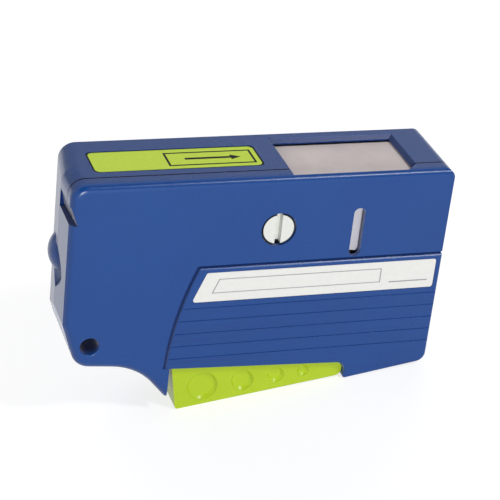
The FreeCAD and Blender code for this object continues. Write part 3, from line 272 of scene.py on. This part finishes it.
FOIL_GRAIN, FOIL_DEPTH = 900.0, 0.00001
PRINT_SOFT = 0.00008
SLANT = 4.1 / 10.4
FIELD_LEFT, FIELD_RIGHT, FIELD_LOW, FIELD_HIGH = 0.0605, 0.1005, -0.0384, -0.0334
FIELD_LINE = 0.00028
RULE_LEFT, RULE_RIGHT, RULE_LOW, RULE_HIGH = 0.1035, 0.1165, -0.0387, -0.0383

white_label, shader, place = begin("white_label")
fine = noise(place, FOIL_GRAIN)
along, _, height = split(case_frame(place))
slanted = along - height * SLANT


def field_print(inset, line):
    """1 inside the field: right of the slanted end, left of the right end, between bottom and top.
    The ends lie in by the inset, and bottom and top by the line's width."""
    left, right = FIELD_LEFT + inset, FIELD_RIGHT - inset
    return slanted.step(left - PRINT_SOFT, left + PRINT_SOFT) * (
        along.under(right - PRINT_SOFT, right + PRINT_SOFT)
        * height.band(FIELD_LOW + line, FIELD_HIGH - line, PRINT_SOFT))


outline = field_print(0.0, 0.0) * (1 - field_print(FIELD_LINE + PRINT_SOFT, FIELD_LINE))
rule = along.band(RULE_LEFT, RULE_RIGHT) * height.band(RULE_LOW, RULE_HIGH)
paper = fine.step(0.2, 0.8).mix(linear(236, 236, 232), linear(241, 241, 237))
feed(shader, Base_Color=outline.most(rule).mix(paper, linear(150, 152, 156)),
     Roughness=0.42 + fine * 0.08, Normal=bump(fine, FOIL_DEPTH))
dress(white_label, "front_label")


# Top label: lime printed foil in the recess beside the window, edged with a thin dark line. It
# carries a plain feed arrow in a box that points to the window.

EDGE_LINE, EDGE_ROUND, EDGE_SOFT = 0.00042, 0.0018, 0.00006
BOX_LEFT, BOX_RIGHT, BOX_FRONT, BOX_BACK = 0.0323, 0.0591, 0.0113, 0.0194
BOX_LINE = 0.00036
ARROW_LEFT, ARROW_NECK, ARROW_TIP = 0.0378, 0.0522, 0.0555
ARROW_HALF, ARROW_SLOPE, ARROW_LAP = 0.0006, 0.48, 0.001


def case_box(name):
    """Lowest and highest corner of a CAD node in the case's own frame."""
    mesh = nodes[name].data
    spots = np.empty(len(mesh.vertices) * 3)
    mesh.vertices.foreach_get("co", spots)
    own = spots.reshape(-1, 3) @ np.array(TO_CASE.to_3x3()).T + np.array(TO_CASE.translation)
    return own.min(axis=0), own.max(axis=0)


def outside(first, second, low, high, margin, corner):
    """1 beyond a rounded rectangle that lies a margin inside the box: its distance past the corner's
    centre, counted only where it is positive, is more than the corner's radius."""
    middle, half = (low + high) / 2, (high - low) / 2 - margin - corner
    past = [((value - float(middle[i])).math("ABSOLUTE") - float(half[i])).most(0.0)
            for i, value in enumerate((first, second))]
    return distance(*past, 0.0, 0.0).step(corner - EDGE_SOFT, corner + EDGE_SOFT)


lime_label, shader, place = begin("lime_label")
fine = noise(place, FOIL_GRAIN)
along, back, _ = split(case_frame(place))


def box_print(grow):
    """1 inside the arrow's box, grown by so much all round."""
    return along.band(BOX_LEFT - grow, BOX_RIGHT + grow) * back.band(BOX_FRONT - grow, BOX_BACK + grow)


low, high = case_box("top_label")
edge = outside(along, back, low[:2], high[:2], EDGE_LINE, EDGE_ROUND)
box = box_print(BOX_LINE) * (1 - box_print(-BOX_LINE))
middle = (BOX_FRONT + BOX_BACK) / 2
shaft = along.band(ARROW_LEFT, ARROW_NECK + ARROW_LAP) * back.band(
    middle - ARROW_HALF, middle + ARROW_HALF)
# The head is where the distance from the middle line is less than the rest of the way to the tip
# times its slope.
spread = (back - middle).math("ABSOLUTE") - (ARROW_TIP - along) * ARROW_SLOPE
head = along.band(ARROW_NECK, ARROW_TIP) * spread.under(-PRINT_SOFT, PRINT_SOFT)
lime = fine.step(0.2, 0.8).mix(linear(202, 232, 52), linear(209, 238, 58))
feed(shader, Base_Color=box.most(shaft, head, edge).mix(lime, linear(10, 14, 12)),
     Roughness=0.5 + fine * 0.08, Normal=bump(fine, FOIL_DEPTH), Specular_IOR_Level=0.2)
dress(lime_label, "top_label")


# Squeeze lever: hollow moulding in lime green, with a row of round dimples for the fingertips and
# the curved rack on its rear wall. It turns on a steel pin.

MOULD_CLOUD = 55.0


def moulded(name, colour, shade, grain, gloss):
    """Spark-textured moulding: two close shades in slow clouds, fine grain in bump and gloss."""
    made, shader, place = begin(name)
    cloud = noise(place, MOULD_CLOUD, 2.0)
    fine = noise(place, grain, 4.0, 0.6)
    tone = (cloud * 0.7 + fine * 0.3).step(0.3, 0.7)
    feed(shader, Base_Color=tone.mix(shade, colour), Roughness=gloss + (fine - 0.5) * 0.05,
         Normal=bump(fine, SPARK_DEPTH), Specular_IOR_Level=0.4)
    return made


lever_plastic = moulded("lever_plastic", colour=linear(186, 213, 40), shade=linear(180, 207, 35),
                        grain=SPARK, gloss=0.28)
dress(lever_plastic, "lever")


# Steel pins and clutch: ground pins for the lever and the guides, and the drawn cup of the roller
# clutch on the gear's sleeve. The brake's leaf is cut from bright strip.

MARK_STRETCH, MARK_GRAIN, MARK_DEPTH, MARK_DARK = (1.0, 12.0, 1.0), 900.0, 0.000004, 0.85


def steel(name, colour, gloss):
    """Bright steel with fine turning marks along the depth, a little darker in the marks."""
    made, shader, place = begin(name)
    marks = noise(stretched(place, MARK_STRETCH), MARK_GRAIN)
    darker = tuple(MARK_DARK * part for part in colour[:3]) + (1.0,)
    feed(shader, Base_Color=marks.step(0.2, 0.8).mix(darker, colour), Metallic=1.0,
         Roughness=gloss + marks * 0.15, Normal=bump(marks, MARK_DEPTH))
    return made


dress(steel("ground_steel", linear(202, 203, 206), gloss=0.2),
      "lever_pin", "guide_pin_left", "guide_pin_right", "one_way_clutch")
bright_steel = steel("bright_steel", linear(188, 189, 193), gloss=0.26)
dress(bright_steel, "brake_spring")


# Lever spring: coil of round steel wire between the lever and a ledge in the case. The lever
# squeezes it towards the ledge; here the coil is built at one length and rides on the case.

def grid_faces(rows, columns):
    """Quads of a grid whose columns close on themselves: each joins a point to the next row and the
    next column."""
    first = np.arange(rows - 1)[:, None] * columns
    here = np.arange(columns)[None, :]
    after = (here + 1) % columns
    return np.stack([first + here, first + after, first + columns + after, first + columns + here],
                    axis=-1).reshape(-1, 4).tolist()


SHARP_EDGE = math.radians(40)


def piece(name, spots, made, body, node, capped=True):
    """Tube from a grid of points in the case's frame, rows along it and columns round it, with its
    two ends filled where it is capped. It rides on the body and stands for the node."""
    rows, columns, _ = spots.shape
    here = spots.reshape(-1, 3) @ np.array(TO_HERE.to_3x3()).T + np.array(TO_HERE.translation)
    faces = grid_faces(rows, columns)
    if capped:
        faces += [list(range(columns))[::-1], list(range((rows - 1) * columns, rows * columns))]
    mesh = bpy.data.meshes.new(name)
    mesh.from_pydata(here.tolist(), [], faces)
    mesh.polygons.foreach_set("use_smooth", np.ones(len(mesh.polygons), dtype=bool))
    mesh.set_sharp_from_angle(angle=SHARP_EDGE)
    mesh.materials.append(made)
    thing = bpy.data.objects.new(name, mesh)
    bpy.context.scene.collection.objects.link(thing)
    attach(thing, body)
    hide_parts(node)
    return thing


COIL_TURNS, COIL_WIRE, COIL_SQUEEZED = 5, 0.00045, 0.69
COIL_STEPS, WIRE_SIDES = 40, 12
FULL_TURN = 2.0 * math.pi

low, high = case_box("lever_spring")
coil_centre = (low + high) / 2
coil_radius = (high[0] - low[0]) / 2 - COIL_WIRE
turn = np.linspace(0.0, FULL_TURN * COIL_TURNS, COIL_STEPS * COIL_TURNS + 1)[:, None]
around = np.linspace(0.0, FULL_TURN, WIRE_SIDES, endpoint=False)[None, :]
# Helix: a circle of the wire's radius carried round the axis while it climbs evenly from end to end.
reach = coil_radius + COIL_WIRE * np.cos(around)
climb = low[2] + COIL_WIRE + (high[2] - low[2] - 2 * COIL_WIRE) * turn / turn[-1]
coil = np.stack([coil_centre[0] + reach * np.cos(turn), coil_centre[1] + reach * np.sin(turn),
                 climb + COIL_WIRE * np.sin(around)], axis=-1)
lever_coil = piece("lever_coil", coil[:, ::-1], bright_steel, "case", "lever_spring")
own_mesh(lever_coil)


# Gear, cores and guide rollers: mouldings in natural acetal, a smooth white plastic that runs well
# on steel. The gear and the cores turn on posts of the rear case, the guide rollers on their pins.

acetal = moulded("acetal", colour=linear(236, 233, 240), shade=linear(229, 226, 233),
                 grain=1800.0, gloss=0.42)
dress(acetal, "drive_gear", "take_up_core", "supply_core", "guide_roller_left", "guide_roller_right")


# Rolls of tape: the full one on the supply core and the few used turns on the take-up core. Their
# ends show the edges of the turns, none of them quite level with the next.

TURN_STEP, TURN_UNEVEN, TURN_DEPTH = 0.0004, 0.00006, 0.00005
CORE_RADIUS, ROLL_SIDES, ROLL_CLOUD = 0.01002, 96, 300.0
SLOW_WAVE, FAST_WAVE = 9000.0, 23500.0


def wound_cloth(name, joint):
    """Turns of tape on a core: a sine of the distance from the joint's axis, as fine as two turns."""
    made, shader, place = begin(name)
    centre = axle(joint)
    x, _, z = split(place)
    radius = distance(x, z, centre.x, centre.z)
    ring = (radius * (FULL_TURN / TURN_STEP)).math("SINE") * 0.5 + 0.5
    cloud = noise(place, ROLL_CLOUD)
    cloth = (ring * 0.5 + cloud * 0.5).step(0.1, 0.9).mix(linear(236, 233, 244), linear(248, 246, 253))
    feed(shader, Base_Color=cloth, Roughness=0.8, Normal=bump(ring, TURN_DEPTH))
    return made


def roll_radius(node):
    """Outer radius of a roll."""
    low, high = case_box(node)
    return (high[0] - low[0]) / 2


def wound_roll(name, node, joint, body):
    """Ring with uneven ends: at each radius the end lies back by a sum of two slow sines of it."""
    low, high = case_box(node)
    centre = (low + high) / 2
    outer = roll_radius(node)
    count = 2 * round((outer - CORE_RADIUS) / TURN_STEP)
    radius = np.linspace(CORE_RADIUS, outer, count)
    waves = np.sin(radius * SLOW_WAVE) + np.sin(radius * FAST_WAVE + 1.0)
    back = TURN_UNEVEN * (0.5 + 0.25 * waves)
    reach = np.concatenate([radius, radius[::-1], radius[:1]])[:, None]
    depth = np.concatenate([low[1] + back, (high[1] - back)[::-1], low[1] + back[:1]])[:, None]
    turn = np.linspace(0.0, FULL_TURN, ROLL_SIDES, endpoint=False)[None, :]
    ring = np.stack([centre[0] + reach * np.cos(turn), np.broadcast_to(depth, (len(depth), ROLL_SIDES)),
                     centre[2] + reach * np.sin(turn)], axis=-1)
    return piece(name, ring, wound_cloth(name + "_cloth", joint), body, node, capped=False)


wound_roll("supply_turns", "supply_roll", "supply_turn", "supply")
wound_roll("take_up_turns", "take_up_roll", "take_up_turn", "take_up")


# Cleaning tape: woven microfibre ribbon, drawn tight from the supply roll over the right guide,
# the platen and the left guide, and down to the take-up roll.

TAPE_THICK, TAPE_OFF, GUIDE_ROUND = 0.0002, 0.0003, 0.00256
RUN_STEPS, WRAP_STEPS, TAPE_COLUMNS = 25, 18, 13
THREAD_STEP, WEAVE_DEPTH, TAPE_CLOUD = 0.0004, 0.00003, 120.0

tape_cloth, shader, place = begin("tape_cloth")
along, across, _ = split(case_frame(place))
threads = FULL_TURN / THREAD_STEP
weave = (along * threads).math("SINE") * (across * threads).math("SINE")
cloud = noise(place, TAPE_CLOUD)
cloth = (weave * 0.2 + cloud).step(0.1, 0.9).mix(linear(212, 200, 199), linear(229, 217, 215))
feed(shader, Base_Color=cloth, Roughness=0.8, Normal=bump(weave * 0.5 + 0.5, WEAVE_DEPTH),
     Sheen_Weight=0.2)


def own_axle(joint):
    """A joint's axis in the case's own frame, as X and Z."""
    spot = TO_CASE @ axle(joint)
    return np.array((spot.x, spot.z))


def heading(angle):
    """Unit vectors at the angles: their cosine and sine."""
    return np.stack([np.cos(angle), np.sin(angle)], axis=-1)


stations = [(own_axle("supply_turn"), roll_radius("supply_roll") + TAPE_OFF),
            (own_axle("guide_right_turn"), GUIDE_ROUND), (own_axle("guide_left_turn"), GUIDE_ROUND),
            (own_axle("take_up_turn"), roll_radius("take_up_roll") + TAPE_OFF)]
# Each run is the tangent that two rollers share on the tape's outer side: its normal lies off the
# line of centres by the arc cosine of the difference of radii over the distance.
bearings = []
for (c1, r1), (c2, r2) in zip(stations, stations[1:]):
    way = c2 - c1
    bearings.append(math.atan2(way[1], way[0]) - math.acos((r1 - r2) / np.hypot(*way)))
bearings = np.unwrap(bearings)
normals, route = [], []
for i, ((c1, r1), (c2, r2)) in enumerate(zip(stations, stations[1:])):
    share = np.linspace(0.0, 1.0, RUN_STEPS)[:, None]
    normal = heading(np.full(RUN_STEPS, bearings[i]))
    route.append(c1 + r1 * normal + share * (c2 - c1 + (r2 - r1) * normal))
    normals.append(normal)
    if i + 1 < len(bearings):
        wrap = heading(np.linspace(bearings[i], bearings[i + 1], WRAP_STEPS)[1:-1])
        route.append(c2 + r2 * wrap)
        normals.append(wrap)
route, normals = np.concatenate(route), np.concatenate(normals)
# The section is carried along the route: the upper side lies the tape's thickness out along the
# normal, the lower side on the route itself.
tape_low, tape_high = case_box("cleaning_tape")
columns = np.linspace(tape_low[1], tape_high[1], TAPE_COLUMNS)
lift = np.concatenate([np.full(TAPE_COLUMNS, TAPE_THICK), np.zeros(TAPE_COLUMNS)])[None, :, None]
section = route[:, None, :] + normals[:, None, :] * lift
width = np.broadcast_to(np.concatenate([columns, columns[::-1]])[None, :], section.shape[:2])
ribbon = np.stack([section[..., 0], width, section[..., 1]], axis=-1)
tape = piece("tape_ribbon", ribbon, tape_cloth, "case", "cleaning_tape")
float(tape_high[1] - tape_low[1])


# Platen: black moulded plate on two ribs, with a soft rubber pad that backs the tape under the
# window. The pad is pressed into the plate's recess.

BLACK_GRAIN, RUBBER_GRAIN, RUBBER_DEPTH = 2200.0, 1800.0, 0.00004
black_plastic = moulded("black_plastic", colour=linear(46, 46, 50), shade=linear(38, 38, 42),
                        grain=BLACK_GRAIN, gloss=0.45)
dress(black_plastic, "platen")
rubber, shader, place = begin("pad_rubber")
grain = noise(place, RUBBER_GRAIN, 4.0, 0.6)
feed(shader, Base_Color=grain.step(0.3, 0.7).mix(linear(34, 34, 36), linear(48, 48, 50)),
     Roughness=0.75 + grain * 0.1, Normal=bump(grain, RUBBER_DEPTH))
dress(rubber, "platen_pad")


# Brake pad: block of grey felt, cut from sheet and glued under the leaf spring. It rubs on the
# supply core and keeps the tape tight.

FIBRE_GRAIN, FIBRE_DEPTH = 1500.0, 0.0002
felt, shader, place = begin("felt")
fibre = noise(place, FIBRE_GRAIN, 5.0, 0.7)
feed(shader, Base_Color=fibre.step(0.3, 0.7).mix(linear(118, 118, 120), linear(160, 160, 162)),
     Roughness=0.95, Normal=bump(fibre, FIBRE_DEPTH))
dress(felt, "brake_pad")


# Cover lock: white moulded quarter-turn fastener with a coin slot, turned to open the case. Painted
# shade darkens the outer rim of its face and the flange behind the wall, so the gap shows as a dark line.

LOCK_RIM, LOCK_GRAIN, LOCK_DEPTH = 0.0048, 2200.0, 0.00002
lock_plastic, shader, place = begin("lock_plastic")
centre = axle("lock_turn")
x, _, z = split(place)
# Painted shade: beyond this radius the white turns near-black, as the gap's shadow.
painted_rim_shade = distance(x, z, centre.x, centre.z).step(LOCK_RIM, LOCK_RIM + HAIR)
fine = noise(place, LOCK_GRAIN, 4.0, 0.6)
white = fine.step(0.3, 0.7).mix(linear(229, 231, 225), linear(236, 238, 232))
feed(shader, Base_Color=painted_rim_shade.mix(white, linear(24, 28, 44)), Roughness=0.34 + fine * 0.08,
     Normal=bump(fine, LOCK_DEPTH))
dress(lock_plastic, "cover_lock")


# Studio: a white floor that keeps the contact shadow and fades to plain white, and a white surround.
# A card behind shows in the top and lights the rear, a dark flag over the front shows in the rounds
# and bevels, and two soft boxes light the front.

def seen_directly():
    """1 for what the camera sees by itself, in a reflection or through glass."""
    rays = Sock.node("ShaderNodeLightPath").socket.node.outputs
    return Sock(rays["Is Camera Ray"]).most(Sock(rays["Is Glossy Ray"]), Sock(rays["Is Transmission Ray"]))


def grey(level):
    """Colour with its three parts at one level."""
    return (level, level, level, 1.0)


def sheet_of_set(name, left, right, first, last):
    """One flat quad of the set: a line from left to right carried from its first Y and Z to its last.
    It gets a matt material of its own, which is returned open for its colour."""
    mesh = bpy.data.meshes.new(name)
    corners = [(left, *first), (right, *first), (right, *last), (left, *last)]
    mesh.from_pydata(corners, [], [(0, 1, 2, 3)])
    thing = bpy.data.objects.new(name, mesh)
    bpy.context.scene.collection.objects.link(thing)
    made, shader, place = begin(name + "_matt")
    feed(shader, Roughness=0.9, Specular_IOR_Level=0.0)
    mesh.materials.append(made)
    return thing, shader, place


FLOOR_HALF = 3.0
FLOOR_PALE, FLOOR_NEAR, FLOOR_FAR = 0.54, 0.68, 0.94
FADE_START, FADE_END = 0.15, 1.6
_, shader, place = sheet_of_set("floor", left=-FLOOR_HALF, right=FLOOR_HALF,
                                first=(-FLOOR_HALF, 0.0), last=(FLOOR_HALF, 0.0))
x, y, _ = split(place)
lift = distance(x, y, 0.0, 0.0).step(FADE_START, FADE_END).mix(grey(FLOOR_NEAR), grey(FLOOR_FAR))
feed(shader, Base_Color=grey(FLOOR_PALE), Emission_Strength=1.0,
     Emission_Color=seen_directly().mix(grey(0.0), lift))

CARD_GLOW, CARD_DARK, CARD_PALE = 1.7, 0.2, 0.95
PALER_FROM, PALER_TO = -0.2, 1.2
card, shader, place = sheet_of_set("card", left=-1.3, right=1.6, first=(1.3, 0.08), last=(1.3, 1.4))
card.visible_camera = False
across = split(place)[0].step(PALER_FROM, PALER_TO)
feed(shader, Base_Color=across.mix(grey(CARD_DARK), grey(CARD_PALE)), Emission_Strength=CARD_GLOW,
     Emission_Color=seen_directly().mix(grey(1.0), grey(0.0)))

FLAG_BLACK = 0.02
flag, shader, _ = sheet_of_set("flag", left=-1.2, right=1.8, first=(-1.9, 0.75), last=(-0.1, 2.1))
flag.visible_camera = flag.visible_diffuse = flag.visible_shadow = False
feed(shader, Base_Color=grey(FLAG_BLACK))

AMBIENT = 0.22
world = bpy.data.worlds.new("surround")
bpy.context.scene.world = world
world.use_nodes = True
Sock.tree = world.node_tree
feed(world.node_tree.nodes["Background"], Color=grey(1.0),
     Strength=AMBIENT + seen_directly() * (1.0 - AMBIENT))


def lamp(name, spot, aim, size, power):
    """Square soft box at a spot, facing the aim."""
    light = bpy.data.lights.new(name, "AREA")
    light.size = size
    light.energy = power
    holder = bpy.data.objects.new(name, light)
    bpy.context.scene.collection.objects.link(holder)
    holder.location = spot
    holder.rotation_euler = (Vector(aim) - Vector(spot)).to_track_quat("-Z", "Y").to_euler()


MIDDLE = (0.0, 0.0, 0.04)
lamp("key_box", spot=(0.58, -0.63, 0.86), aim=MIDDLE, size=0.19, power=3.8)
lamp("fill_box", spot=(-0.16, -1.07, 0.24), aim=MIDDLE, size=0.2, power=6.4)


# Camera: at the photograph's viewing angle, fitted to the case's edges in the picture. Its place,
# angles and focal length in pixels are given in the case's own frame.

AZIMUTH, ELEVATION, ROLL = (math.radians(a) for a in (20.49, 28.47, -6.63))
EYE = Vector((-0.113907, -0.455311, 0.239432))
FOCAL_PIXELS, IMAGE, SENSOR, NEAREST = 1827.55, 500.0, 36.0, 0.01
ahead = Vector((math.sin(AZIMUTH) * math.cos(ELEVATION), math.cos(AZIMUTH) * math.cos(ELEVATION),
                -math.sin(ELEVATION)))
level = Vector((math.cos(AZIMUTH), -math.sin(AZIMUTH), 0.0))
below = ahead.cross(level)
right = level * math.cos(ROLL) + below * math.sin(ROLL)
down = below * math.cos(ROLL) - level * math.sin(ROLL)
lens = bpy.data.cameras.new("camera")
lens.sensor_fit = "HORIZONTAL"
lens.sensor_width = SENSOR
lens.lens = SENSOR * FOCAL_PIXELS / IMAGE
lens.clip_start = NEAREST
camera = bpy.data.objects.new("camera", lens)
bpy.context.scene.collection.objects.link(camera)
stand = Matrix((right, -down, -ahead)).transposed().to_4x4()
stand.translation = EYE
camera.matrix_world = TO_HERE @ stand
bpy.context.scene.camera = camera
bpy.context.scene.view_settings.view_transform = "Standard"
